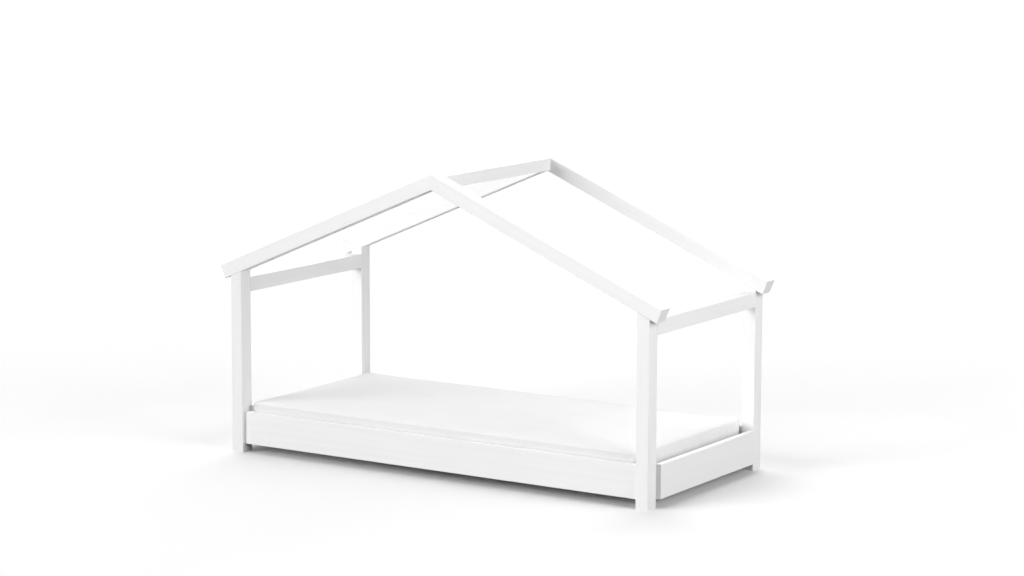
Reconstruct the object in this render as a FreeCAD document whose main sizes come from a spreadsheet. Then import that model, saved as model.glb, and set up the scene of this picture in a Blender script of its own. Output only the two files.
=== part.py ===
import FreeCAD, Part
import os

import Sketcher

# House frame bed for a child, a low slatted bed whose timber frame draws the outline of a house.
# Millimetres. The origin lies on the floor at the centre of the footprint, +X runs along the bed,
# +Y from the front long side to the back one, and +Z points up. The roof slopes run along X, so each
# long side is a gable and the short ridge beam joins the front gable to the back one.

Vector = FreeCAD.Vector

# Driving sizes: each can be set by itself.
SIZES = (
    # mattress, and the room left around it
    ("mattress_length", 2000),
    ("mattress_width", 900),
    ("mattress_thickness", 120),
    ("mattress_end_clearance", 7),
    ("mattress_side_clearance", 1),
    ("mattress_corner_radius", 30),
    ("mattress_edge_radius", 18),
    ("mattress_waist", 4),
    ("mattress_crown", 6),
    ("mattress_crown_inset", 110),
    ("soft_clearance", 0.3),
    # house frame
    ("post_width", 58),
    ("post_depth", 68),
    ("eaves_height", 789),
    ("roof_pitch", 23),
    ("rafter_depth", 62),
    ("rafter_overhang", 34),
    ("ridge_width", 54),
    ("ridge_height", 54),
    ("cross_beam_height", 65),
    ("cross_beam_drop", 8),
    ("edge_rounding", 2.5),
    # boards and rails round the mattress
    ("floor_gap", 38),
    ("board_height", 146),
    ("board_thickness", 25),
    ("side_board_recess", 14),
    ("end_board_projection", 22),
    ("end_rail_thickness", 32),
    ("end_rail_height", 100),
    ("end_rail_lift", 10),
    # slatted base
    ("ledger_height", 42),
    ("ledger_lift", 6),
    ("slat_count", 16),
    ("slat_width", 70),
    ("slat_thickness", 18),
    ("slat_end_gap", 2),
    ("slat_post_gap", 3),
    ("slat_rounding", 3),
    # dowels
    ("dowel_diameter", 10),
    ("dowel_length", 56),
    ("dowel_chamfer", 1),
    ("hole_clearance", 0.1),
    ("hole_end_gap", 1),
    ("rafter_dowel_spacing", 34),
    ("apex_dowel_inset", 18),
    ("apex_dowel_spacing", 27),
    ("ridge_dowel_spacing", 27),
    ("cross_beam_dowel_spacing", 28),
    ("side_board_dowel_spacing", 73),
    ("end_rail_dowel_spacing", 50),
    # screws: the bite is the length that goes into the second timber
    ("screw_diameter", 4),
    ("screw_head", 8),
    ("slat_screw_bite", 20),
    ("ledger_screw_bite", 16),
    ("ledger_screw_count", 8),
    ("ledger_screw_rise", 12),
    ("ledger_screw_end", 97),
    ("end_board_screw_bite", 16),
    ("end_board_screw_count", 4),
    ("end_board_screw_end", 102),
    ("rafter_screw_diameter", 6),
    ("rafter_screw_head", 12),
    ("rafter_screw_bite", 38),
    # corner brackets
    ("bracket_leg", 52),
    ("bracket_thickness", 3),
    ("bracket_height", 36),
    ("bracket_lift", 3),
    ("bracket_bend", 2),
    ("bracket_screw_bite", 25),
    ("bracket_screw_spacing", 18),
    ("bracket_screw_end", 15),
)

# Places and sizes that follow from the driving ones. Each half_ or _x, _y is measured from the
# middle of the bed, and the same value serves left and right, or front and back.
PLACES = (
    ("post_inner_x", "sizes.mattress_length / 2 + sizes.mattress_end_clearance"),
    ("half_length", "post_inner_x + sizes.post_width"),
    ("board_inner_y", "sizes.mattress_width / 2 + sizes.mattress_side_clearance"),
    ("half_width", "board_inner_y + sizes.board_thickness + sizes.side_board_recess"),
    ("post_inner_y", "half_width - sizes.post_depth"),
    ("post_x", "half_length - sizes.post_width / 2"),
    ("post_y", "half_width - sizes.post_depth / 2"),
    # roof
    ("slope", "tan(sizes.roof_pitch)"),
    ("apex_under", "sizes.eaves_height + half_length * slope"),
    ("rafter_plumb", "sizes.rafter_depth / cos(sizes.roof_pitch)"),
    ("post_top_middle", "sizes.eaves_height + sizes.post_width / 2 * slope"),
    ("ridge_z", "apex_under + sizes.ridge_height / 2"),
    ("cross_beam_z", "sizes.eaves_height - sizes.cross_beam_drop - sizes.cross_beam_height / 2"),
    # boards and rails
    ("board_z", "sizes.floor_gap + sizes.board_height / 2"),
    ("side_board_y", "board_inner_y + sizes.board_thickness / 2"),
    ("end_board_inner_x", "half_length + sizes.end_board_projection - sizes.board_thickness"),
    ("end_board_x", "end_board_inner_x + sizes.board_thickness / 2"),
    ("end_rail_inner_x", "end_board_inner_x - sizes.end_rail_thickness"),
    ("end_rail_x", "end_board_inner_x - sizes.end_rail_thickness / 2"),
    ("end_rail_z", "sizes.floor_gap + sizes.end_rail_lift + sizes.end_rail_height / 2"),
    # slatted base: the ledger fills the step between the side board and the post's inner face
    ("ledger_depth", "board_inner_y - post_inner_y"),
    ("ledger_y", "board_inner_y - ledger_depth / 2"),
    ("ledger_bottom", "sizes.floor_gap + sizes.ledger_lift"),
    ("ledger_z", "ledger_bottom + sizes.ledger_height / 2"),
    ("slat_z", "ledger_bottom + sizes.ledger_height + sizes.slat_thickness / 2"),
    ("slat_top", "slat_z + sizes.slat_thickness / 2"),
    ("slat_length", "2 * (board_inner_y - sizes.slat_end_gap)"),
    ("slat_last_x", "post_inner_x - sizes.slat_post_gap - sizes.slat_width / 2"),
    ("mattress_bottom", "slat_top + sizes.soft_clearance"),
    ("bracket_bottom", "ledger_bottom + sizes.bracket_lift"),
)

LEFT_RIGHT = (("left", -1), ("right", 1))
FRONT_BACK = (("front", -1), ("back", 1))
BOTH = (-1, 1)
ALONG_X = Vector(1, 0, 0)
ALONG_Y = Vector(0, 1, 0)
UP = Vector(0, 0, 1)

doc = FreeCAD.newDocument("house_frame_bed")
nodes = []


# ---- the two sheets ----------------------------------------------------------------------------

def fill_sheet(name, rows):
    sheet = doc.addObject("Spreadsheet::Sheet", name)
    for row, (alias, content) in enumerate(rows, start=1):
        sheet.set("A%d" % row, alias)
        sheet.set("B%d" % row, content)
        sheet.setAlias("B%d" % row, alias)
    return sheet


sizes = fill_sheet("sizes", [(alias, str(number)) for alias, number in SIZES])
places = fill_sheet("places", [(alias, "=" + formula) for alias, formula in PLACES])
doc.recompute()


def size(alias):
    return float(sizes.get(alias))


def place(alias):
    return float(places.get(alias))


# ---- sketches and solids -----------------------------------------------------------------------

def new_sketch(body, name, role, height="0"):
    plane = next(item for item in body.Origin.OriginFeatures if item.Role == role)
    sketch = body.newObject("Sketcher::SketchObject", name)
    sketch.AttachmentSupport = [(plane, "")]
    sketch.MapMode = "FlatFace"
    sketch.setExpression("AttachmentOffset.Base.z", height)
    return sketch


def bind(sketch, constraint, expression):
    index = sketch.addConstraint(constraint)
    sketch.setExpression("Constraints[%d]" % index, expression)


def draw_polygon(sketch, corners):
    """A closed outline whose corners are pairs of expressions, measured from the sketch's origin."""
    count = len(corners)
    for index in range(count):
        start = Vector(index, index * index, 0)
        end = Vector(index + 1, (index + 1) * (index + 1), 0)
        sketch.addGeometry(Part.LineSegment(start, end))
    for index in range(count):
        sketch.addConstraint(Sketcher.Constraint("Coincident", index, 2, (index + 1) % count, 1))
        across, along = corners[index]
        bind(sketch, Sketcher.Constraint("DistanceX", -1, 1, index, 1, 1.0), across)
        bind(sketch, Sketcher.Constraint("DistanceY", -1, 1, index, 1, 1.0), along)


def rectangle(width, height):
    """Corners of a rectangle about the sketch's origin."""
    half_x = "(%s) / 2" % width
    half_y = "(%s) / 2" % height
    return [("-" + half_x, "-" + half_y), (half_x, "-" + half_y), (half_x, half_y), ("-" + half_x, half_y)]


def draw_rounded_rectangle(sketch, length, width, radius):
    """A rectangle with arcs for corners about the sketch's origin; the sizes are expressions."""
    half_x = size("mattress_length") / 2
    half_y = size("mattress_width") / 2
    round_off = size("mattress_corner_radius")
    quarter = FreeCAD.Units.parseQuantity("90 deg").getValueAs("rad").Value
    corners = [(half_x, -half_y), (half_x, half_y), (-half_x, half_y), (-half_x, -half_y)]
    sides = [
        (Vector(-half_x + round_off, -half_y, 0), Vector(half_x - round_off, -half_y, 0)),
        (Vector(half_x, -half_y + round_off, 0), Vector(half_x, half_y - round_off, 0)),
        (Vector(half_x - round_off, half_y, 0), Vector(-half_x + round_off, half_y, 0)),
        (Vector(-half_x, half_y - round_off, 0), Vector(-half_x, -half_y + round_off, 0)),
    ]
    for start, end in sides:
        sketch.addGeometry(Part.LineSegment(start, end))
    for index, (corner_x, corner_y) in enumerate(corners):
        centre_x = corner_x - round_off if corner_x > 0 else corner_x + round_off
        centre_y = corner_y - round_off if corner_y > 0 else corner_y + round_off
        circle = Part.Circle(Vector(centre_x, centre_y, 0), UP, round_off)
        sketch.addGeometry(Part.ArcOfCircle(circle, (index - 1) * quarter, index * quarter))
    for index in range(4):
        arc = index + 4
        sketch.addConstraint(Sketcher.Constraint("Tangent", index, 2, arc, 1))
        sketch.addConstraint(Sketcher.Constraint("Tangent", arc, 2, (index + 1) % 4, 1))
    for index in (0, 2):
        sketch.addConstraint(Sketcher.Constraint("Horizontal", index))
        sketch.addConstraint(Sketcher.Constraint("Vertical", index + 1))
    for arc in (5, 6, 7):
        sketch.addConstraint(Sketcher.Constraint("Equal", 4, arc))
    sketch.addConstraint(Sketcher.Constraint("Symmetric", 4, 3, 6, 3, -1, 1))
    bind(sketch, Sketcher.Constraint("Radius", 4, round_off), radius)
    bind(sketch, Sketcher.Constraint("DistanceX", 2, 2, 0, 2, 2 * (half_x - round_off)),
         "%s - 2 * (%s)" % (length, radius))
    bind(sketch, Sketcher.Constraint("DistanceY", 1, 1, 1, 2, 2 * (half_y - round_off)),
         "%s - 2 * (%s)" % (width, radius))


def runs_along(edge, direction):
    return edge.tangentAt(edge.FirstParameter).cross(direction).Length < 1e-6


def ease_edges(body, feature, grain, rounding):
    """Rounds the edges of a timber that run along its grain."""
    doc.recompute()
    chosen = []
    for index, edge in enumerate(feature.Shape.Edges, start=1):
        if runs_along(edge, grain):
            chosen.append("Edge%d" % index)
    fillet = body.newObject("PartDesign::Fillet", body.Name + "_rounding")
    fillet.Base = (feature, chosen)
    fillet.setExpression("Radius", rounding)


def put(item, x, y, z):
    """Binds where an object stands to the sheets."""
    item.setExpression("Placement.Base.x", x)
    item.setExpression("Placement.Base.y", y)
    item.setExpression("Placement.Base.z", z)


def timber(name, role, corners, length, grain, rounding="sizes.edge_rounding"):
    """A length of timber: its outline padded to both sides of the plane, with eased edges."""
    body = doc.addObject("PartDesign::Body", name + "_blank")
    sketch = new_sketch(body, name + "_outline", role)
    draw_polygon(sketch, corners)
    pad = body.newObject("PartDesign::Pad", name + "_pad")
    pad.Profile = sketch
    pad.SideType = "Symmetric"
    pad.setExpression("Length", length)
    ease_edges(body, pad, grain, rounding)
    return body


def keep(item, name):
    """Makes an object one of the bed's pieces."""
    item.Label = name
    nodes.append(item)
    return item


def drilled(name, blank, holes):
    """A piece of the bed: a blank with the holes of its own dowels and screws."""
    if len(holes) == 1:
        tool = holes[0]
    else:
        tool = doc.addObject("Part::Compound", name + "_holes")
        tool.Links = holes
    cut = doc.addObject("Part::Cut", name)
    cut.Base = blank
    cut.Tool = tool
    return keep(cut, name)


# ---- dowels and screws -------------------------------------------------------------------------

def turned(profile):
    """A solid of revolution about Z; the profile is pairs of radius and height."""
    points = [Vector(radius, 0, height) for radius, height in profile]
    face = Part.Face(Part.makePolygon(points + [points[0]]))
    return face.revolve(Vector(0, 0, 0), UP, 360)


def dowel_solid():
    radius = size("dowel_diameter") / 2
    half = size("dowel_length") / 2
    chamfer = size("dowel_chamfer")
    return turned([(0, -half), (radius - chamfer, -half), (radius, chamfer - half),
                   (radius, half - chamfer), (radius - chamfer, half), (0, half)])


def dowel_hole():
    radius = size("dowel_diameter") / 2 + size("hole_clearance")
    half = size("dowel_length") / 2 + size("hole_end_gap")
    return turned([(0, -half), (radius, -half), (radius, half), (0, half)])


def screw_solid(length, diameter, head):
    """A countersunk screw: the head's top is at the origin and the tip points along +Z."""
    taper = (head - diameter) / 2
    return turned([(0, 0), (head / 2, 0), (diameter / 2, taper),
                   (diameter / 2, length - diameter), (0, length)])


def screw_hole(length, diameter, head):
    """The room for such a screw, with its countersink run out through the surface."""
    clearance = size("hole_clearance")
    end_gap = size("hole_end_gap")
    taper = (head - diameter) / 2
    mouth = head / 2 + clearance
    shank = diameter / 2 + clearance
    return turned([(0, -end_gap), (mouth, -end_gap), (mouth, 0), (shank, taper),
                   (shank, length + end_gap), (0, length + end_gap)])


def aimed(x, y, z, direction):
    return FreeCAD.Placement(Vector(x, y, z), FreeCAD.Rotation(UP, direction))


def group(name, solid, placements):
    item = doc.addObject("Part::Feature", name)
    item.Shape = Part.makeCompound([solid.transformed(spot.toMatrix()) for spot in placements])
    return item


def dowels(name, placements):
    """One node of like dowels; returns the holes that they sit in."""
    keep(group(name, dowel_solid(), placements), name)
    return group(name + "_holes", dowel_hole(), placements)


def screws(name, length, diameter, head, placements):
    """One node of like screws; returns the holes that they sit in."""
    keep(group(name, screw_solid(length, diameter, head), placements), name)
    return group(name + "_holes", screw_hole(length, diameter, head), placements)


def spread(end, count):
    """Evenly spaced places from -end to end."""
    return [-end + 2 * end * step / (count - 1) for step in range(int(count))]


def pair(middle, spacing):
    return (middle - spacing / 2, middle + spacing / 2)


CORNERS = [(x, y) for x in BOTH for y in BOTH]
SLAT_PLACES = spread(place("slat_last_x"), size("slat_count"))


def roof_normal(x):
    """Square to the roof slope on the left (-1) or right (1) side, pointing up and out."""
    return FreeCAD.Rotation(ALONG_Y, x * size("roof_pitch")).multVec(UP)


def rafter_dowels():
    spots = []
    for x, y in CORNERS:
        for across in pair(y * place("post_y"), size("rafter_dowel_spacing")):
            spots.append(aimed(x * place("post_x"), across, place("post_top_middle"), roof_normal(x)))
    return dowels("rafter_dowels", spots)


def rafter_screws():
    spots = []
    for x, y in CORNERS:
        seat = Vector(x * place("post_x"), y * place("post_y"), place("post_top_middle"))
        top = seat + roof_normal(x) * size("rafter_depth")
        spots.append(aimed(top.x, top.y, top.z, -roof_normal(x)))
    length = size("rafter_depth") + size("rafter_screw_bite")
    return screws("rafter_screws", length, size("rafter_screw_diameter"), size("rafter_screw_head"), spots)


def apex_dowels():
    """Across the mitre of each pair of rafters."""
    spots = []
    middle = place("apex_under") + place("rafter_plumb") / 2 - size("dowel_diameter") / 4
    for y in BOTH:
        for height in pair(middle, size("apex_dowel_spacing")):
            spots.append(aimed(0, y * (place("half_width") - size("apex_dowel_inset")), height, ALONG_X))
    return dowels("apex_dowels", spots)


def ridge_dowels():
    """From each end of the ridge beam, one dowel into each rafter of the pair."""
    spots = []
    for y in BOTH:
        for x in pair(0, size("ridge_dowel_spacing")):
            spots.append(aimed(x, y * place("post_inner_y"), place("ridge_z"), ALONG_Y))
    return dowels("ridge_dowels", spots)


def cross_beam_dowels():
    spots = []
    for x, y in CORNERS:
        for height in pair(place("cross_beam_z"), size("cross_beam_dowel_spacing")):
            spots.append(aimed(x * place("post_x"), y * place("post_inner_y"), height, ALONG_Y))
    return dowels("cross_beam_dowels", spots)


def side_board_dowels():
    spots = []
    for x, y in CORNERS:
        for height in pair(place("board_z"), size("side_board_dowel_spacing")):
            spots.append(aimed(x * place("post_inner_x"), y * place("side_board_y"), height, ALONG_X))
    return dowels("side_board_dowels", spots)


def end_rail_dowels():
    spots = []
    for x, y in CORNERS:
        for height in pair(place("end_rail_z"), size("end_rail_dowel_spacing")):
            spots.append(aimed(x * place("end_rail_x"), y * place("post_inner_y"), height, ALONG_Y))
    return dowels("end_rail_dowels", spots)


def wood_screws(name, length, spots):
    return screws(name, length, size("screw_diameter"), size("screw_head"), spots)


def slat_screws():
    spots = []
    for x in SLAT_PLACES:
        for y in BOTH:
            spots.append(aimed(x, y * place("ledger_y"), place("slat_top"), -UP))
    return wood_screws("slat_screws", size("slat_thickness") + size("slat_screw_bite"), spots)


def ledger_screws():
    spots = []
    height = place("ledger_bottom") + size("ledger_screw_rise")
    last = place("post_inner_x") - size("ledger_screw_end")
    for x in spread(last, size("ledger_screw_count")):
        for y in BOTH:
            spots.append(aimed(x, y * place("post_inner_y"), height, ALONG_Y * y))
    return wood_screws("ledger_screws", place("ledger_depth") + size("ledger_screw_bite"), spots)


def end_board_screws():
    """From inside the bed through the end rail, so that none shows on the end board."""
    spots = []
    last = place("post_inner_y") - size("end_board_screw_end")
    for across in spread(last, size("end_board_screw_count")):
        for x in BOTH:
            spots.append(aimed(x * place("end_rail_inner_x"), across, place("end_rail_z"), ALONG_X * x))
    length = size("end_rail_thickness") + size("end_board_screw_bite")
    return wood_screws("end_board_screws", length, spots)


def bracket_screws():
    """Each bracket has two screws into the post, two into the ledger and two into the end rail."""
    spots = []
    thickness = size("bracket_thickness")
    post_strip = (place("post_inner_x") + place("end_rail_inner_x")) / 2
    reach = size("bracket_leg") - size("bracket_screw_end")
    ledger_column = place("end_rail_inner_x") - reach
    rail_column = place("post_inner_y") - reach
    heights = pair(place("bracket_bottom") + size("bracket_height") / 2, size("bracket_screw_spacing"))
    for x, y in CORNERS:
        for height in heights:
            for along in (post_strip, ledger_column):
                spots.append(aimed(x * along, y * (place("post_inner_y") - thickness), height, ALONG_Y * y))
            spots.append(aimed(x * (place("end_rail_inner_x") - thickness), y * rail_column, height,
                               ALONG_X * x))
    return wood_screws("bracket_screws", thickness + size("bracket_screw_bite"), spots)


# ---- timbers -----------------------------------------------------------------------------------

def post(name, x, y, holes):
    """A corner post whose top is cut to the roof slope; drawn from the foot of its outer face."""
    inner = "%d * sizes.post_width" % -x
    corners = [("0", "0"), (inner, "0"),
               (inner, "sizes.eaves_height + sizes.post_width * places.slope"),
               ("0", "sizes.eaves_height")]
    blank = timber(name, "XZ_Plane", corners, "sizes.post_depth", UP)
    put(blank, "%d * places.half_length" % x, "%d * places.post_y" % y, "0")
    return drilled(name, blank, holes)


def rafter(name, x, y, holes):
    """A rafter on two posts' slope: mitred at the apex and cut square at its overhanging foot.

    It is drawn from the eaves, where its underside meets the post's outer face.
    """
    apex = "%d * places.half_length" % -x
    rise = "places.half_length * places.slope"
    foot_x = "sizes.rafter_overhang * cos(sizes.roof_pitch)"
    foot_z = "sizes.rafter_overhang * sin(sizes.roof_pitch)"
    corners = [
        (apex, rise),
        (apex, rise + " + places.rafter_plumb"),
        ("%d * (%s + sizes.rafter_depth * sin(sizes.roof_pitch))" % (x, foot_x),
         "sizes.rafter_depth * cos(sizes.roof_pitch) - " + foot_z),
        ("%d * %s" % (x, foot_x), "-" + foot_z),
    ]
    grain = FreeCAD.Rotation(ALONG_Y, x * size("roof_pitch")).multVec(ALONG_X)
    blank = timber(name, "XZ_Plane", corners, "sizes.post_depth", grain)
    put(blank, "%d * places.half_length" % x, "%d * places.post_y" % y, "sizes.eaves_height")
    return drilled(name, blank, holes)


def ridge_beam(holes):
    corners = rectangle("sizes.ridge_width", "sizes.ridge_height")
    blank = timber("ridge_beam", "XZ_Plane", corners, "2 * places.post_inner_y", ALONG_Y)
    put(blank, "0", "0", "places.ridge_z")
    return drilled("ridge_beam", blank, holes)


def cross_beam(name, x, holes):
    corners = rectangle("sizes.post_width", "sizes.cross_beam_height")
    blank = timber(name, "XZ_Plane", corners, "2 * places.post_inner_y", ALONG_Y)
    put(blank, "%d * places.post_x" % x, "0", "places.cross_beam_z")
    return drilled(name, blank, holes)


def side_board(name, y, holes):
    corners = rectangle("sizes.board_thickness", "sizes.board_height")
    blank = timber(name, "YZ_Plane", corners, "2 * places.post_inner_x", ALONG_X)
    put(blank, "0", "%d * places.side_board_y" % y, "places.board_z")
    return drilled(name, blank, holes)


def end_board(name, x, holes):
    corners = rectangle("sizes.board_thickness", "sizes.board_height")
    blank = timber(name, "XZ_Plane", corners, "2 * places.post_inner_y", ALONG_Y)
    put(blank, "%d * places.end_board_x" % x, "0", "places.board_z")
    return drilled(name, blank, holes)


def end_rail(name, x, holes):
    corners = rectangle("sizes.end_rail_thickness", "sizes.end_rail_height")
    blank = timber(name, "XZ_Plane", corners, "2 * places.post_inner_y", ALONG_Y)
    put(blank, "%d * places.end_rail_x" % x, "0", "places.end_rail_z")
    return drilled(name, blank, holes)


def slat_ledger(name, y, holes):
    corners = rectangle("places.ledger_depth", "sizes.ledger_height")
    blank = timber(name, "YZ_Plane", corners, "2 * places.post_inner_x", ALONG_X)
    put(blank, "0", "%d * places.ledger_y" % y, "places.ledger_z")
    return drilled(name, blank, holes)


def slat(number, holes):
    name = "slat_%02d" % (number + 1)
    corners = rectangle("sizes.slat_width", "sizes.slat_thickness")
    blank = timber(name, "XZ_Plane", corners, "places.slat_length", ALONG_Y, "sizes.slat_rounding")
    step = "2 * places.slat_last_x / (sizes.slat_count - 1)"
    put(blank, "%d * %s - places.slat_last_x" % (number, step), "0", "places.slat_z")
    return drilled(name, blank, holes)


def corner_bracket(name, x, y, holes):
    """A steel angle in the corner of post, ledger and end rail; drawn from that corner."""
    thick_x = "%d * sizes.bracket_thickness" % -x
    thick_y = "%d * sizes.bracket_thickness" % -y
    leg_x = "%d * sizes.bracket_leg" % -x
    leg_y = "%d * sizes.bracket_leg" % -y
    body = doc.addObject("PartDesign::Body", name + "_blank")
    sketch = new_sketch(body, name + "_outline", "XY_Plane")
    draw_polygon(sketch, [("0", "0"), (leg_x, "0"), (leg_x, thick_y),
                          (thick_x, thick_y), (thick_x, leg_y), ("0", leg_y)])
    pad = body.newObject("PartDesign::Pad", name + "_pad")
    pad.Profile = sketch
    pad.setExpression("Length", "sizes.bracket_height")
    doc.recompute()
    fillet = body.newObject("PartDesign::Fillet", name + "_bend")
    bends = []
    for index, edge in enumerate(pad.Shape.Edges, start=1):
        middle = edge.CenterOfMass
        if runs_along(edge, UP) and max(abs(middle.x), abs(middle.y)) < size("bracket_leg") / 2:
            bends.append("Edge%d" % index)
    fillet.Base = (pad, bends)
    fillet.setExpression("Radius", "sizes.bracket_bend")
    put(body, "%d * places.end_rail_inner_x" % x, "%d * places.post_inner_y" % y, "places.bracket_bottom")
    return drilled(name, body, holes)


# ---- mattress ----------------------------------------------------------------------------------

def mattress():
    """A foam mattress: flat underneath, round along its edges, drawn in between its two seams and
    crowned on top. Each level of the loft is a height and how far its outline stands in."""
    edge = "sizes.mattress_edge_radius"
    bevel = "%s * (1 - cos(45))" % edge
    shoulder = "sizes.mattress_thickness - sizes.mattress_crown"
    levels = [
        ("0", edge),
        (bevel, bevel),
        (edge, "0"),
        ("(%s) / 2" % shoulder, "sizes.mattress_waist"),
        ("%s - %s" % (shoulder, edge), "0"),
        ("%s - %s" % (shoulder, bevel), bevel),
        (shoulder, edge),
        ("sizes.mattress_thickness - sizes.mattress_crown / 4", "%s + sizes.mattress_crown_inset" % edge),
        ("sizes.mattress_thickness", "%s + 2 * sizes.mattress_crown_inset" % edge),
    ]
    body = doc.addObject("PartDesign::Body", "mattress")
    sections = []
    for number, (height, inset) in enumerate(levels):
        sketch = new_sketch(body, "mattress_level_%d" % number, "XY_Plane", height)
        draw_rounded_rectangle(sketch, "sizes.mattress_length - 2 * (%s)" % inset,
                               "sizes.mattress_width - 2 * (%s)" % inset, "sizes.mattress_corner_radius")
        sections.append(sketch)
    loft = body.newObject("PartDesign::AdditiveLoft", "mattress_loft")
    loft.Profile = sections[0]
    loft.Sections = sections[1:]
    loft.Ruled = True
    put(body, "0", "0", "places.mattress_bottom")
    return keep(body, "mattress")


# ---- the bed -----------------------------------------------------------------------------------

def build_bed():
    rafter_dowel_holes = rafter_dowels()
    rafter_screw_holes = rafter_screws()
    apex_dowel_holes = apex_dowels()
    ridge_dowel_holes = ridge_dowels()
    cross_beam_dowel_holes = cross_beam_dowels()
    side_board_dowel_holes = side_board_dowels()
    end_rail_dowel_holes = end_rail_dowels()
    slat_screw_holes = slat_screws()
    ledger_screw_holes = ledger_screws()
    end_board_screw_holes = end_board_screws()
    bracket_screw_holes = bracket_screws()

    for face, y in FRONT_BACK:
        for side, x in LEFT_RIGHT:
            where = "%s_%s" % (face, side)
            post("post_" + where, x, y,
                 [rafter_dowel_holes, rafter_screw_holes, cross_beam_dowel_holes,
                  side_board_dowel_holes, end_rail_dowel_holes, bracket_screw_holes])
            rafter("rafter_" + where, x, y,
                   [rafter_dowel_holes, rafter_screw_holes, apex_dowel_holes, ridge_dowel_holes])
            corner_bracket("corner_bracket_" + where, x, y, [bracket_screw_holes])
        side_board("side_board_" + face, y, [side_board_dowel_holes, ledger_screw_holes])
        slat_ledger("slat_ledger_" + face, y,
                    [ledger_screw_holes, slat_screw_holes, bracket_screw_holes])
    for side, x in LEFT_RIGHT:
        cross_beam("cross_beam_" + side, x, [cross_beam_dowel_holes])
        end_board("end_board_" + side, x, [end_board_screw_holes])
        end_rail("end_rail_" + side, x,
                 [end_rail_dowel_holes, end_board_screw_holes, bracket_screw_holes])
    ridge_beam([ridge_dowel_holes])
    for number in range(len(SLAT_PLACES)):
        slat(number, [slat_screw_holes])
    mattress()
    doc.recompute()


def check_and_write():
    for item in doc.Objects:
        if "Invalid" in item.State or "Error" in item.State:
            raise RuntimeError("%s failed: %s" % (item.Label, item.State))
    for item in nodes:
        if item.Shape.isNull() or not item.Shape.isValid() or not item.Shape.Solids:
            raise RuntimeError("%s has no valid solid" % item.Label)
    os.makedirs("parts", exist_ok=True)
    for item in nodes:
        item.Shape.exportStep("parts/%s.step" % item.Label)
    print("pieces: %d, solids: %d" % (len(nodes), sum(len(item.Shape.Solids) for item in nodes)))


build_bed()
check_and_write()
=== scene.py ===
import math

import bpy
import numpy as np
from mathutils import Matrix, Vector


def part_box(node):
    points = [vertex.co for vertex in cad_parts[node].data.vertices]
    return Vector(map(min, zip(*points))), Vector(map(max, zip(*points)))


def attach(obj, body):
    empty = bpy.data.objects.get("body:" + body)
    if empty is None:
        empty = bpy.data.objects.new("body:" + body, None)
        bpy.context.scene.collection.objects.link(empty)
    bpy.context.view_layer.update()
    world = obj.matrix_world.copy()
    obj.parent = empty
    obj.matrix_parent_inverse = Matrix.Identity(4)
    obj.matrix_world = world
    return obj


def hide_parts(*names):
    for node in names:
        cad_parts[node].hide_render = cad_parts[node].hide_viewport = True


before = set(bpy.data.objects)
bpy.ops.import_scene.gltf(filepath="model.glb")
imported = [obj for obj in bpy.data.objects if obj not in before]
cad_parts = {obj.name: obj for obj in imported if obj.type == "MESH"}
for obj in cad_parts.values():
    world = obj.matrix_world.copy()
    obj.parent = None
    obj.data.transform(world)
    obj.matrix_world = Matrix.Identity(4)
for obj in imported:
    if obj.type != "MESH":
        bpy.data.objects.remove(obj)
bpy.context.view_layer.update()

# A child's house frame bed: white painted timber, a slatted base of bare pine, and a mattress in a
# white woven cover. Metres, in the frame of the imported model: +X along the bed, +Y to the back.

# ---- the photograph's camera: where it stands, and how it turns, in degrees ----------------------
IMAGE_WIDTH = 1024
SENSOR_WIDTH = 36.0
CAMERA_PLACE = Vector((6.826, -10.5509, 2.7187))
CAMERA_YAW = 32.5351
CAMERA_PITCH = -8.8441
CAMERA_ROLL = 0.1826
FOCAL_PIXELS = 2916.742
CLIP_END = 500.0

# ---- light ---------------------------------------------------------------------------------------
# Two suns, each as (name, direction towards it, level, angular size in degrees), light all of the bed
# alike. The softbox stands to its right and so near that the bed's left end gets less of it.
SUNS = (
    ("key_light", (-0.50, -0.75, 0.22), 1.00, 40),
    ("back_light", (-0.45, 0.60, 0.66), 0.63, 60),
)
SOFTBOX_TOWARDS = Vector((0.80, -0.10, 0.32)).normalized()
SOFTBOX_LEVEL = 0.60
SOFTBOX_ANGLE = 44
SOFTBOX_DISTANCE = 11.0
SKY_LEVEL = 0.15
FLOOR_WHITE = 0.95  # as it is seen
FLOOR_BOUNCE = 0.14  # as it throws light back on the bed
FLOOR_FADE = (2.5, 8.0)  # where it begins to turn to full white, and where it has got there
FLOOR_SIZE = 240.0

# ---- colours -------------------------------------------------------------------------------------
WHITE = (1.0, 1.0, 1.0)
PAINT = (0.89, 0.89, 0.89)
PAINT_SHADE = (0.84, 0.84, 0.84)
PAINT_END_GRAIN = (0.82, 0.817, 0.81)
PINE_LIGHT = (0.80, 0.62, 0.40)
PINE_DARK = (0.60, 0.40, 0.21)
PINE_END_GRAIN = (0.52, 0.35, 0.19)
PINE_KNOT = (0.33, 0.17, 0.08)
ZINC = (0.62, 0.63, 0.65)
ZINC_DARK = (0.50, 0.51, 0.53)
CLOTH = (0.87, 0.87, 0.87)
CLOTH_SHADE = (0.80, 0.80, 0.80)
# The cover's sides are painted darker than its top: painted shade, for the less light they take.
CLOTH_SIDE_PAINTED_SHADE = (0.79, 0.79, 0.79)
CLOTH_SIDE_PAINTED_SHADE_DARK = (0.73, 0.73, 0.73)

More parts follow.
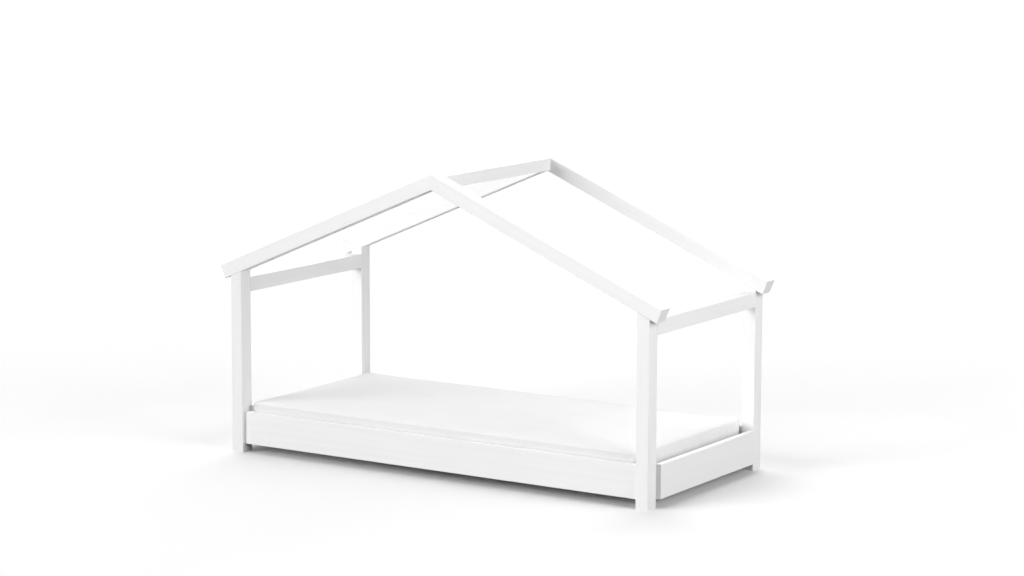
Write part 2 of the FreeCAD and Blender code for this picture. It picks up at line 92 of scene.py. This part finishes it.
# ---- wood: how its grain runs, as the turn in degrees that brings it to X, and its rings ---------
ROOF_PITCH = 23
GRAIN_X = (0, 0, 0)
GRAIN_Y = (0, 0, 90)
GRAIN_Z = (0, 90, 0)
GRAIN_LEFT_SLOPE = (0, ROOF_PITCH, 0)
GRAIN_RIGHT_SLOPE = (0, -ROOF_PITCH, 0)
PAINTED_RINGS = 0.0052  # from ring to ring
PINE_RINGS = 0.0064
RING_TILT = (0.0, 0.80, 0.60)
RING_SWAY = 0.045
RING_RIPPLE = 0.004
END_FACING = (0.80, 0.92)  # how far a face looks along the grain, from side grain to end grain
PAINT_EDGE = 0.0025  # rounding over which the paint is thinner
EDGE_FACING = (0.985, 0.90)

# ---- cloth ---------------------------------------------------------------------------------------
THREAD_PITCH = 0.0021
TOP_FACING = (0.60, 0.80)  # how far a face looks up or down, from the side, painted darker as shade, to the top
SEAM_FACING = (0.5, 0.8)

# ---- mattress ------------------------------------------------------------------------------------
CORNER_ROUNDING = 0.030
EDGE_ROUNDING = 0.018
WAIST = 0.004
WAIST_FROM, WAIST_FULL = 0.10, 0.02  # how far inside the side it begins, and is complete
CROWN = 0.002
CROWN_REACH = 0.30
FINE_STEP = 0.005
COARSE_STEP = 0.022
LEVEL_STEP = 0.01
LEVEL_SPARE = 0.02  # the levels are laid out on this much more height, and then drawn together
SEAM_DEPTH = 0.0007
SEAM_WIDTH = 0.0024
SEAM_INSET = 0.026

# ---- how the cover swells ------------------------------------------------------------------------
SWELL_ROOM = 0.001
SWELL_CAP = 0.003
COVER_QUALITY = 6
COVER_MASS = 0.3
COVER_PRESSURE = 4.0
COVER_SHRINK = -0.006
COVER_FRAMES = 20
HELD_BY_SEAM = 0.004
HELD_BY_SLATS = 0.001
TINY = 1e-9  # keeps a length of nothing from being divided by


# ---- shader graphs -------------------------------------------------------------------------------

class Graph:
    """A node tree, with short ways to add and join its nodes."""

    def __init__(self, tree):
        self.tree = tree
        self.tree.nodes.clear()

    def feed(self, socket, value):
        if isinstance(value, bpy.types.NodeSocket):
            self.tree.links.new(value, socket)
        else:
            socket.default_value = value

    def add(self, kind, settings=None, inputs=None):
        node = self.tree.nodes.new(kind)
        for name, value in (settings or {}).items():
            setattr(node, name, value)
        for name, value in (inputs or {}).items():
            self.feed(node.inputs[name], value)
        return node

    def math(self, operation, first, second=0.0, clamp=False):
        settings = {"operation": operation, "use_clamp": clamp}
        return self.add("ShaderNodeMath", settings, {0: first, 1: second}).outputs[0]

    def dot(self, first, second):
        node = self.add("ShaderNodeVectorMath", {"operation": "DOT_PRODUCT"}, {0: first, 1: second})
        return node.outputs["Value"]

    def scaled(self, vector, scale, rotation=(0.0, 0.0, 0.0)):
        inputs = {"Vector": vector, "Scale": scale, "Rotation": rotation}
        return self.add("ShaderNodeMapping", None, inputs).outputs[0]

    def parts(self, vector):
        return self.add("ShaderNodeSeparateXYZ", None, {0: vector}).outputs

    def noise(self, vector, scale, detail=3.0, roughness=0.5):
        inputs = {"Vector": vector, "Scale": scale, "Detail": detail, "Roughness": roughness}
        return self.add("ShaderNodeTexNoise", None, inputs).outputs[0]

    def span(self, value, low, high, out_low=0.0, out_high=1.0):
        inputs = {0: value, 1: low, 2: high, 3: out_low, 4: out_high}
        return self.add("ShaderNodeMapRange", None, inputs).outputs[0]

    def blend(self, factor, first, second):
        return self.add("ShaderNodeMix", None, {0: factor, 2: first, 3: second}).outputs[0]

    def mix(self, factor, first, second):
        inputs = {0: factor, 6: rgba(first), 7: rgba(second)}
        return self.add("ShaderNodeMix", {"data_type": "RGBA"}, inputs).outputs[2]

    def bump(self, height, distance, strength=1.0, normal=None):
        inputs = {"Height": height, "Distance": distance, "Strength": strength}
        if normal is not None:
            inputs["Normal"] = normal
        return self.add("ShaderNodeBump", None, inputs).outputs[0]


def rgba(colour):
    if isinstance(colour, bpy.types.NodeSocket):
        return colour
    return (*colour, 1.0)


def new_material(name):
    material = bpy.data.materials.new(name)
    material.use_nodes = True
    return material, Graph(material.node_tree)


def surface(graph, inputs):
    """The material's one principled shader."""
    shader = graph.add("ShaderNodeBsdfPrincipled", None, inputs)
    graph.add("ShaderNodeOutputMaterial", None, {"Surface": shader.outputs[0]})


# ---- materials -----------------------------------------------------------------------------------

# A pattern in wood has a lower scale along the grain, X, than across it, so that it is drawn out.

def along_grain(graph, turn):
    """Position and surface direction with X along the grain; turn brings the grain to X."""
    turn = tuple(math.radians(angle) for angle in turn)
    coordinates = graph.add("ShaderNodeTexCoord")
    place = graph.scaled(coordinates.outputs["Object"], (1.0, 1.0, 1.0), turn)
    facing = graph.scaled(coordinates.outputs["Normal"], (1.0, 1.0, 1.0), turn)
    return place, facing


def growth_rings(graph, place, spacing):
    """Bands of early and late wood, 0 to 1, wavering slowly along the grain."""
    across = graph.dot(place, RING_TILT)
    sway = graph.noise(graph.scaled(place, (1.1, 8.0, 8.0)), 1.0, 3.0)
    ripple = graph.noise(graph.scaled(place, (5.0, 45.0, 45.0)), 1.0, 2.0)
    distance = graph.math("ADD", across, graph.math("MULTIPLY", sway, RING_SWAY))
    distance = graph.math("ADD", distance, graph.math("MULTIPLY", ripple, RING_RIPPLE))
    wave = graph.math("SINE", graph.math("MULTIPLY", distance, 2 * math.pi / spacing))
    return graph.span(wave, -1.0, 1.0)


def end_grain_mask(graph, facing):
    """1 on the ends of a piece, 0 along it."""
    return graph.span(graph.math("ABSOLUTE", graph.parts(facing)[0]), *END_FACING)


def edge_mask(graph, radius):
    """1 on edges and corners, 0 on flats."""
    bevel = graph.add("ShaderNodeBevel", {"samples": 6}, {"Radius": radius})
    geometry = graph.add("ShaderNodeNewGeometry")
    return graph.span(graph.dot(bevel.outputs[0], geometry.outputs["Normal"]), *EDGE_FACING)


def painted_wood(name, turn):
    """White satin paint, brushed on along the grain; the growth rings show faintly through it."""
    material, graph = new_material(name)
    place, facing = along_grain(graph, turn)
    rings = growth_rings(graph, place, PAINTED_RINGS)
    ends = end_grain_mask(graph, facing)
    edges = edge_mask(graph, PAINT_EDGE)
    brush = graph.noise(graph.scaled(place, (4.0, 300.0, 300.0)), 1.0, 4.0, 0.6)
    streaks = graph.noise(graph.scaled(place, (1.5, 55.0, 55.0)), 1.0, 3.0)
    blotches = graph.noise(place, 3.2, 2.0)
    specks = graph.noise(place, 900.0, 2.0)

    tone = graph.math("MULTIPLY", graph.span(streaks, 0.35, 0.70), 0.45)
    tone = graph.math("ADD", tone, graph.math("MULTIPLY", rings, 0.16))
    patches = graph.math("MULTIPLY", graph.span(blotches, 0.3, 0.7), 0.30)
    tone = graph.math("ADD", tone, patches, clamp=True)
    colour = graph.mix(tone, PAINT, PAINT_SHADE)
    colour = graph.mix(graph.math("MULTIPLY", ends, 0.65), colour, PAINT_END_GRAIN)
    colour = graph.mix(graph.math("MULTIPLY", edges, 0.35), colour, PAINT_END_GRAIN)

    roughness = graph.span(brush, 0.3, 0.7, 0.36, 0.50)
    roughness = graph.math("ADD", roughness, graph.math("MULTIPLY", ends, 0.14))
    relief = graph.bump(rings, 0.00012, 0.55)
    relief = graph.bump(brush, 0.00010, 0.60, relief)
    relief = graph.bump(specks, 0.00003, 0.50, relief)
    surface(graph, {"Base Color": colour, "Roughness": roughness, "Normal": relief,
                    "Specular IOR Level": 0.42})
    return material


def bare_pine(name, turn):
    """Planed softwood with clear growth rings, fine pores and a darker end grain."""
    material, graph = new_material(name)
    place, facing = along_grain(graph, turn)
    rings = growth_rings(graph, place, PINE_RINGS)
    ends = end_grain_mask(graph, facing)
    pores = graph.noise(graph.scaled(place, (14.0, 700.0, 700.0)), 1.0, 3.0, 0.6)
    boards = graph.noise(graph.scaled(place, (0.8, 6.0, 6.0)), 1.0, 2.0)
    knots = graph.add("ShaderNodeTexVoronoi", None,
                      {"Vector": graph.scaled(place, (3.1, 13.0, 13.0)), "Scale": 1.0})
    knot = graph.span(knots.outputs["Distance"], 0.20, 0.06)

    late_wood = graph.math("POWER", rings, 2.5)
    tone = graph.math("MULTIPLY", late_wood, 0.55)
    tone = graph.math("ADD", tone, graph.span(pores, 0.45, 0.8, 0.0, 0.25))
    tone = graph.math("ADD", tone, graph.span(boards, 0.35, 0.75, 0.0, 0.30), clamp=True)
    colour = graph.mix(tone, PINE_LIGHT, PINE_DARK)
    colour = graph.mix(graph.math("MULTIPLY", knot, 0.8), colour, PINE_KNOT)
    colour = graph.mix(graph.math("MULTIPLY", ends, 0.6), colour, PINE_END_GRAIN)

    relief = graph.bump(late_wood, 0.00010, 0.6)
    relief = graph.bump(pores, 0.00008, 0.6, relief)
    surface(graph, {"Base Color": colour, "Roughness": graph.span(pores, 0.3, 0.8, 0.50, 0.66),
                    "Normal": relief, "Specular IOR Level": 0.35})
    return material


def zinc_steel(name):
    """Zinc plated steel: a faint mottle and fine drawn lines."""
    material, graph = new_material(name)
    coordinates = graph.add("ShaderNodeTexCoord").outputs["Object"]
    mottle = graph.noise(coordinates, 130.0, 3.0)
    lines = graph.noise(graph.scaled(coordinates, (900.0, 900.0, 25.0)), 1.0, 2.0)
    colour = graph.mix(graph.span(mottle, 0.35, 0.65), ZINC, ZINC_DARK)
    surface(graph, {"Base Color": colour, "Metallic": 1.0,
                    "Roughness": graph.span(lines, 0.3, 0.7, 0.28, 0.46),
                    "Normal": graph.bump(lines, 0.00002, 0.5)})
    return material


def white_enamel(name):
    """Screw heads touched over with white enamel: a smooth coat, a little uneven."""
    material, graph = new_material(name)
    place = graph.add("ShaderNodeTexCoord").outputs["Object"]
    runs = graph.noise(place, 260.0, 2.0)
    wear = graph.noise(place, 900.0, 3.0)
    surface(graph, {"Base Color": graph.mix(graph.span(runs, 0.35, 0.65), PAINT, PAINT_SHADE),
                    "Roughness": graph.span(wear, 0.3, 0.7, 0.30, 0.42),
                    "Normal": graph.bump(runs, 0.0001, 0.5)})
    return material


def weave(graph, first, second):
    """Threads over and under each other in the plane of two coordinates."""
    turns = 2 * math.pi / THREAD_PITCH
    warp = graph.math("SINE", graph.math("MULTIPLY", first, turns))
    weft = graph.math("SINE", graph.math("MULTIPLY", second, turns))
    return graph.math("MULTIPLY", warp, weft)


def woven_cover(name):
    """A white woven cotton cover, with slubs in its threads and a stitched seam round each edge."""
    material, graph = new_material(name)
    coordinates = graph.add("ShaderNodeTexCoord")
    place = coordinates.outputs["Object"]
    x, y, z = graph.parts(place)[:3]
    facing_x, facing_y, facing_z = (graph.math("ABSOLUTE", side)
                                    for side in graph.parts(coordinates.outputs["Normal"])[:3])
    on_top = graph.span(facing_z, *TOP_FACING)
    on_end = graph.math("GREATER_THAN", facing_x, facing_y)
    threads_side = graph.blend(on_end, weave(graph, x, z), weave(graph, y, z))
    threads = graph.blend(on_top, threads_side, weave(graph, x, y))
    slubs_long = graph.noise(graph.scaled(place, (18.0, 420.0, 300.0)), 1.0, 2.0)
    slubs_cross = graph.noise(graph.scaled(place, (420.0, 18.0, 300.0)), 1.0, 2.0)
    slubs = graph.math("MULTIPLY", graph.math("ADD", slubs_long, slubs_cross), 0.5)
    creases = graph.noise(graph.scaled(place, (5.0, 7.0, 9.0)), 1.0, 4.0, 0.45)
    fuzz = graph.noise(place, 1400.0, 2.0)

    tone = graph.span(slubs, 0.40, 0.62, 0.0, 0.45)
    # The hollows between the threads are painted darker: painted shade.
    tone = graph.math("ADD", tone, graph.span(threads, -1.0, 1.0, 0.30, 0.0))
    tone = graph.math("ADD", tone, graph.span(creases, 0.35, 0.70, 0.0, 0.25), clamp=True)
    colour = graph.mix(tone, CLOTH, CLOTH_SHADE)
    # The sides take a darker colour than the top: painted shade where less light falls on them.
    side_painted_shade = graph.mix(tone, CLOTH_SIDE_PAINTED_SHADE, CLOTH_SIDE_PAINTED_SHADE_DARK)
    colour = graph.mix(on_top, side_painted_shade, colour)

    relief = graph.bump(creases, 0.0035, 0.35)
    relief = graph.bump(threads, 0.00022, 0.55, relief)
    relief = graph.bump(slubs, 0.00035, 0.60, relief)
    relief = graph.bump(fuzz, 0.00005, 0.50, relief)
    surface(graph, {"Base Color": colour, "Roughness": graph.span(slubs, 0.4, 0.6, 0.82, 0.94),
                    "Normal": relief, "Specular IOR Level": 0.25, "Sheen Weight": 0.18,
                    "Sheen Roughness": 0.45})
    return material


def dress_nodes():
    """Gives each CAD piece that stays in view its material, by how its name begins or ends."""
    lengthwise = painted_wood("white_paint_lengthwise", GRAIN_X)
    crosswise = painted_wood("white_paint_crosswise", GRAIN_Y)
    upright = painted_wood("white_paint_upright", GRAIN_Z)
    left_slope = painted_wood("white_paint_left_slope", GRAIN_LEFT_SLOPE)
    right_slope = painted_wood("white_paint_right_slope", GRAIN_RIGHT_SLOPE)
    enamel = white_enamel("white_enamel")
    zinc = zinc_steel("zinc_plate")
    pine = bare_pine("bare_pine", GRAIN_Y)
    endings = {"rafter_screws": enamel, "_screws": zinc, "_dowels": pine}
    beginnings = {
        "corner_bracket_": zinc, "slat_ledger_": lengthwise, "side_board_": lengthwise, "slat_": pine,
        "post_": upright, "rafter_front_left": left_slope, "rafter_back_left": left_slope,
        "rafter_front_right": right_slope, "rafter_back_right": right_slope,
        "ridge_beam": crosswise, "cross_beam_": crosswise, "end_board_": crosswise, "end_rail_": crosswise,
    }
    for name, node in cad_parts.items():
        fits = [endings[ending] for ending in endings if name.endswith(ending)]
        fits += [beginnings[beginning] for beginning in beginnings if name.startswith(beginning)]
        if not fits:
            continue
        for slot in node.material_slots:
            slot.material = fits[0]


# ---- mattress ------------------------------------------------------------------------------------

def grid_lines(half, coarse):
    """Places from -half to half, close together near the ends."""
    margin = CORNER_ROUNDING + 2 * FINE_STEP
    fine = np.linspace(half - margin, half, round(margin / FINE_STEP) + 1)
    count = round(2 * (half - margin) / coarse)
    middle = np.linspace(margin - half, half - margin, count + 1)
    return np.concatenate([-fine[::-1][:-1], middle, fine[1:]])


def box_of_quads(xs, ys, zs):
    """The surface of a box as one closed mesh of quads on the given grid lines."""
    numbers = {}
    points = []
    quads = []

    def corner(i, j, k):
        if (i, j, k) not in numbers:
            numbers[i, j, k] = len(points)
            points.append((xs[i], ys[j], zs[k]))
        return numbers[i, j, k]

    last_x, last_y, last_z = len(xs) - 1, len(ys) - 1, len(zs) - 1
    for i in range(last_x):
        for j in range(last_y):
            quads.append([corner(i, j, last_z), corner(i + 1, j, last_z),
                          corner(i + 1, j + 1, last_z), corner(i, j + 1, last_z)])
            quads.append([corner(i, j, 0), corner(i, j + 1, 0),
                          corner(i + 1, j + 1, 0), corner(i + 1, j, 0)])
    for i in range(last_x):
        for k in range(last_z):
            quads.append([corner(i, 0, k), corner(i + 1, 0, k),
                          corner(i + 1, 0, k + 1), corner(i, 0, k + 1)])
            quads.append([corner(i, last_y, k), corner(i, last_y, k + 1),
                          corner(i + 1, last_y, k + 1), corner(i + 1, last_y, k)])
    for j in range(last_y):
        for k in range(last_z):
            quads.append([corner(0, j, k), corner(0, j, k + 1),
                          corner(0, j + 1, k + 1), corner(0, j + 1, k)])
            quads.append([corner(last_x, j, k), corner(last_x, j + 1, k),
                          corner(last_x, j + 1, k + 1), corner(last_x, j, k + 1)])
    return np.array(points), quads


def read_points(mesh):
    points = np.empty(len(mesh.vertices) * 3)
    mesh.vertices.foreach_get("co", points)
    return points.reshape(-1, 3)


def write_points(mesh, points):
    mesh.vertices.foreach_set("co", points.ravel())
    mesh.update()


def soft_steps(values, low, high):
    """0 below low, 1 above high, and smooth between."""
    share = np.clip((values - low) / (high - low), 0.0, 1.0)
    return share * share * (3 - 2 * share)


def mattress_form(half, thickness):
    """The rounded box, drawn in at its waist and crowned on top, about its own middle."""
    levels = grid_lines(thickness / 2 + LEVEL_SPARE, LEVEL_STEP)
    levels = levels * (thickness / 2) / levels[-1]
    points, quads = box_of_quads(grid_lines(half[0], COARSE_STEP), grid_lines(half[1], COARSE_STEP), levels)
    inner = np.array(half) - CORNER_ROUNDING
    core = np.clip(points[:, :2], -inner, inner)
    away = points[:, :2] - core
    reach = np.abs(away).max(axis=1)
    away /= np.maximum(np.linalg.norm(away, axis=1, keepdims=True), TINY)
    straight = np.minimum(reach, CORNER_ROUNDING - EDGE_ROUNDING)
    level = np.clip(points[:, 2], EDGE_ROUNDING - thickness / 2, thickness / 2 - EDGE_ROUNDING)
    bend = np.stack([reach - straight, points[:, 2] - level], axis=1)
    bend *= EDGE_ROUNDING / np.maximum(np.linalg.norm(bend, axis=1, keepdims=True), TINY)
    points[:, :2] = core + away * (straight + bend[:, 0])[:, None]
    points[:, 2] = level + bend[:, 1]

    height = points[:, 2] / (thickness / 2)
    waist = WAIST * np.clip(1 - height * height, 0, 1)
    for axis in (0, 1):
        side = soft_steps(np.abs(points[:, axis]), half[axis] - WAIST_FROM, half[axis] - WAIST_FULL)
        points[:, axis] -= np.sign(points[:, axis]) * side * waist
    middle = ((1 - soft_steps(np.abs(points[:, 0]), half[0] - CROWN_REACH, half[0]))
              * (1 - soft_steps(np.abs(points[:, 1]), half[1] - CROWN_REACH, half[1])))
    points[:, 2] += CROWN * middle * (points[:, 2] > 0)
    return points, quads


def swell(piece, held):
    """The cover filled out by its foam: a cloth simulation under pressure, held along its seams."""
    rest = read_points(piece.data)
    group = piece.vertex_groups.new(name="held")
    group.add([int(number) for number in np.nonzero(held)[0]], 1.0, "REPLACE")
    cloth = piece.modifiers.new("cover", "CLOTH")
    cloth.settings.quality = COVER_QUALITY
    cloth.settings.mass = COVER_MASS
    cloth.settings.use_pressure = True
    cloth.settings.uniform_pressure_force = COVER_PRESSURE
    cloth.settings.shrink_min = COVER_SHRINK
    cloth.settings.effector_weights.gravity = 0.0
    cloth.settings.vertex_group_mass = group.name
    cloth.point_cache.frame_start = 1
    cloth.point_cache.frame_end = COVER_FRAMES
    for number in range(1, COVER_FRAMES + 1):
        bpy.context.scene.frame_set(number)
    evaluated = piece.evaluated_get(bpy.context.evaluated_depsgraph_get())
    moved = read_points(evaluated.data)
    piece.modifiers.remove(cloth)
    piece.vertex_groups.remove(group)
    bpy.context.scene.frame_set(1)
    travel = moved - rest
    length = np.linalg.norm(travel, axis=1, keepdims=True)
    travel *= SWELL_CAP * np.tanh(length / SWELL_CAP) / np.maximum(length, TINY)
    write_points(piece.data, rest + travel)


def subdivide(piece):
    """One round of subdivision, applied."""
    modifier = piece.modifiers.new("finer", "SUBSURF")
    modifier.levels = 1
    modifier.render_levels = 1
    evaluated = piece.evaluated_get(bpy.context.evaluated_depsgraph_get())
    mesh = bpy.data.meshes.new_from_object(evaluated)
    piece.modifiers.clear()
    piece.data = mesh


def make_mattress():
    """The mattress in its cover, in place of its plain solid; the seam is sunk in after the swelling."""
    low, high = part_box("mattress")
    middle = (low + high) / 2
    thickness = high.z - low.z - CROWN - 2 * SWELL_ROOM
    half = (high.x - middle.x - SWELL_ROOM, high.y - middle.y - SWELL_ROOM / 2)
    points, quads = mattress_form(half, thickness)
    mesh = bpy.data.meshes.new("mattress_cover")
    mesh.from_pydata(points.tolist(), [], quads)
    piece = bpy.data.objects.new("mattress_cover", mesh)
    bpy.context.scene.collection.objects.link(piece)

    seam_height = thickness / 2 - SEAM_INSET
    height = np.abs(points[:, 2])
    on_seam = np.abs(height - seam_height) < HELD_BY_SEAM
    on_slats = points[:, 2] < HELD_BY_SLATS - thickness / 2
    swell(piece, on_seam | on_slats)
    subdivide(piece)

    points = read_points(piece.data)
    normals = np.empty(len(points) * 3)
    piece.data.vertices.foreach_get("normal", normals)
    normals = normals.reshape(-1, 3)
    across = (np.abs(points[:, 2]) - seam_height) / SEAM_WIDTH
    side = 1 - soft_steps(np.abs(normals[:, 2]), *SEAM_FACING)
    points -= normals * (SEAM_DEPTH * side * np.exp(-across * across))[:, None]
    points += np.array([middle.x, middle.y, low.z + SWELL_ROOM + thickness / 2])
    points[:, 0] = np.clip(points[:, 0], low.x, high.x)
    points[:, 1] = np.clip(points[:, 1], low.y, high.y)
    points[:, 2] = np.maximum(points[:, 2], low.z)
    write_points(piece.data, points)
    for face in piece.data.polygons:
        face.use_smooth = True
    piece.data.materials.clear()
    piece.data.materials.append(woven_cover("white_woven_cover"))
    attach(piece, "mattress")
    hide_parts("mattress")


# ---- studio --------------------------------------------------------------------------------------

def sees_backdrop(graph):
    """1 for rays from the camera, in mirrors and through glass; 0 for the light that bounces about."""
    path = graph.add("ShaderNodeLightPath")
    seen = graph.math("MAXIMUM", path.outputs["Is Camera Ray"], path.outputs["Is Glossy Ray"])
    return graph.math("MAXIMUM", seen, path.outputs["Is Transmission Ray"])


def light_lost(graph, place):
    """How much less of the softbox's light the floor takes at a place than at the bed's middle."""
    lamp = SOFTBOX_TOWARDS * SOFTBOX_DISTANCE
    away = graph.add("ShaderNodeVectorMath", {"operation": "DISTANCE"}, {0: place, 1: lamp})
    ahead = graph.math("SUBTRACT", SOFTBOX_DISTANCE, graph.dot(place, SOFTBOX_TOWARDS))
    share = graph.math("MULTIPLY", ahead, SOFTBOX_DISTANCE ** 3)
    share = graph.math("DIVIDE", share, graph.math("POWER", away.outputs["Value"], 4.0))
    lost = graph.math("SUBTRACT", 1.0, share, clamp=True)
    return graph.math("MULTIPLY", lost, SOFTBOX_LEVEL * SOFTBOX_TOWARDS.z)


def make_floor():
    """A floor that the camera sees white and that throws little light back on the bed."""
    half = FLOOR_SIZE / 2
    mesh = bpy.data.meshes.new("floor")
    mesh.from_pydata([(-half, -half, 0), (half, -half, 0), (half, half, 0), (-half, half, 0)], [],
                     [(0, 1, 2, 3)])
    floor = bpy.data.objects.new("floor", mesh)
    bpy.context.scene.collection.objects.link(floor)
    material, graph = new_material("white_floor")
    place = graph.add("ShaderNodeTexCoord").outputs["Object"]
    distance = graph.add("ShaderNodeVectorMath", {"operation": "LENGTH"}, {0: place}).outputs["Value"]
    missing = graph.math("MULTIPLY", light_lost(graph, place), FLOOR_WHITE)
    strength = graph.math("ADD", missing, graph.span(distance, *FLOOR_FADE, 0.0, 1.0 - FLOOR_WHITE))
    glow = graph.add("ShaderNodeEmission", None, {"Strength": strength})
    white = graph.add("ShaderNodeBsdfDiffuse", None, {"Color": rgba((FLOOR_WHITE,) * 3)})
    seen = graph.add("ShaderNodeAddShader", None, {0: white.outputs[0], 1: glow.outputs[0]})
    bounce = graph.add("ShaderNodeBsdfDiffuse", None, {"Color": rgba((FLOOR_BOUNCE,) * 3)})
    choice = graph.add("ShaderNodeMixShader", None,
                       {0: sees_backdrop(graph), 1: bounce.outputs[0], 2: seen.outputs[0]})
    graph.add("ShaderNodeOutputMaterial", None, {"Surface": choice.outputs[0]})
    mesh.materials.append(material)


def make_world():
    """A pale sky on the bed, and white behind it."""
    world = bpy.data.worlds.new("studio")
    bpy.context.scene.world = world
    world.use_nodes = True
    graph = Graph(world.node_tree)
    strength = graph.span(sees_backdrop(graph), 0.0, 1.0, SKY_LEVEL, 1.0)
    background = graph.add("ShaderNodeBackground", None, {"Color": rgba(WHITE), "Strength": strength})
    graph.add("ShaderNodeOutputWorld", None, {"Surface": background.outputs[0]})


def hang_lamp(name, lamp, towards):
    """Puts the lamp in the scene, shining from the given direction."""
    item = bpy.data.objects.new(name, lamp)
    item.rotation_mode = "QUATERNION"
    item.rotation_quaternion = Vector(towards).to_track_quat("Z", "Y")
    bpy.context.scene.collection.objects.link(item)
    return item


def make_lamps():
    """A level is the brightness that a white surface facing the lamp takes from it, in mid bed."""
    for name, towards, level, angle in SUNS:
        sun = bpy.data.lights.new(name, "SUN")
        sun.energy = level * math.pi
        sun.angle = math.radians(angle)
        hang_lamp(name, sun, towards)
    softbox = bpy.data.lights.new("side_light", "AREA")
    softbox.shape = "DISK"
    softbox.size = 2 * SOFTBOX_DISTANCE * math.tan(math.radians(SOFTBOX_ANGLE / 2))
    # A lamp's energy, over 4 times the square of its distance, is what a sun's energy stands for.
    softbox.energy = SOFTBOX_LEVEL * math.pi * 4 * SOFTBOX_DISTANCE ** 2
    item = hang_lamp("side_light", softbox, SOFTBOX_TOWARDS)
    item.location = SOFTBOX_TOWARDS * SOFTBOX_DISTANCE
    item.visible_camera = False


def make_camera():
    """The photograph's camera."""
    yaw, pitch, roll = (math.radians(angle) for angle in (CAMERA_YAW, CAMERA_PITCH, CAMERA_ROLL))
    forward = Vector((-math.sin(yaw) * math.cos(pitch), math.cos(yaw) * math.cos(pitch), math.sin(pitch)))
    right = Vector((math.cos(yaw), math.sin(yaw), 0.0))
    up = right.cross(forward)
    across = math.cos(roll) * right + math.sin(roll) * up
    above = math.cos(roll) * up - math.sin(roll) * right
    camera = bpy.data.cameras.new("camera")
    camera.sensor_width = SENSOR_WIDTH
    camera.lens = FOCAL_PIXELS / IMAGE_WIDTH * SENSOR_WIDTH
    camera.clip_end = CLIP_END
    item = bpy.data.objects.new("camera", camera)
    turn = Matrix((across, above, -forward)).transposed()
    item.matrix_world = Matrix.Translation(CAMERA_PLACE) @ turn.to_4x4()
    bpy.context.scene.collection.objects.link(item)
    bpy.context.scene.camera = item


bpy.context.scene.view_settings.view_transform = "Standard"
make_camera()
make_world()
make_lamps()
make_floor()
dress_nodes()
make_mattress()
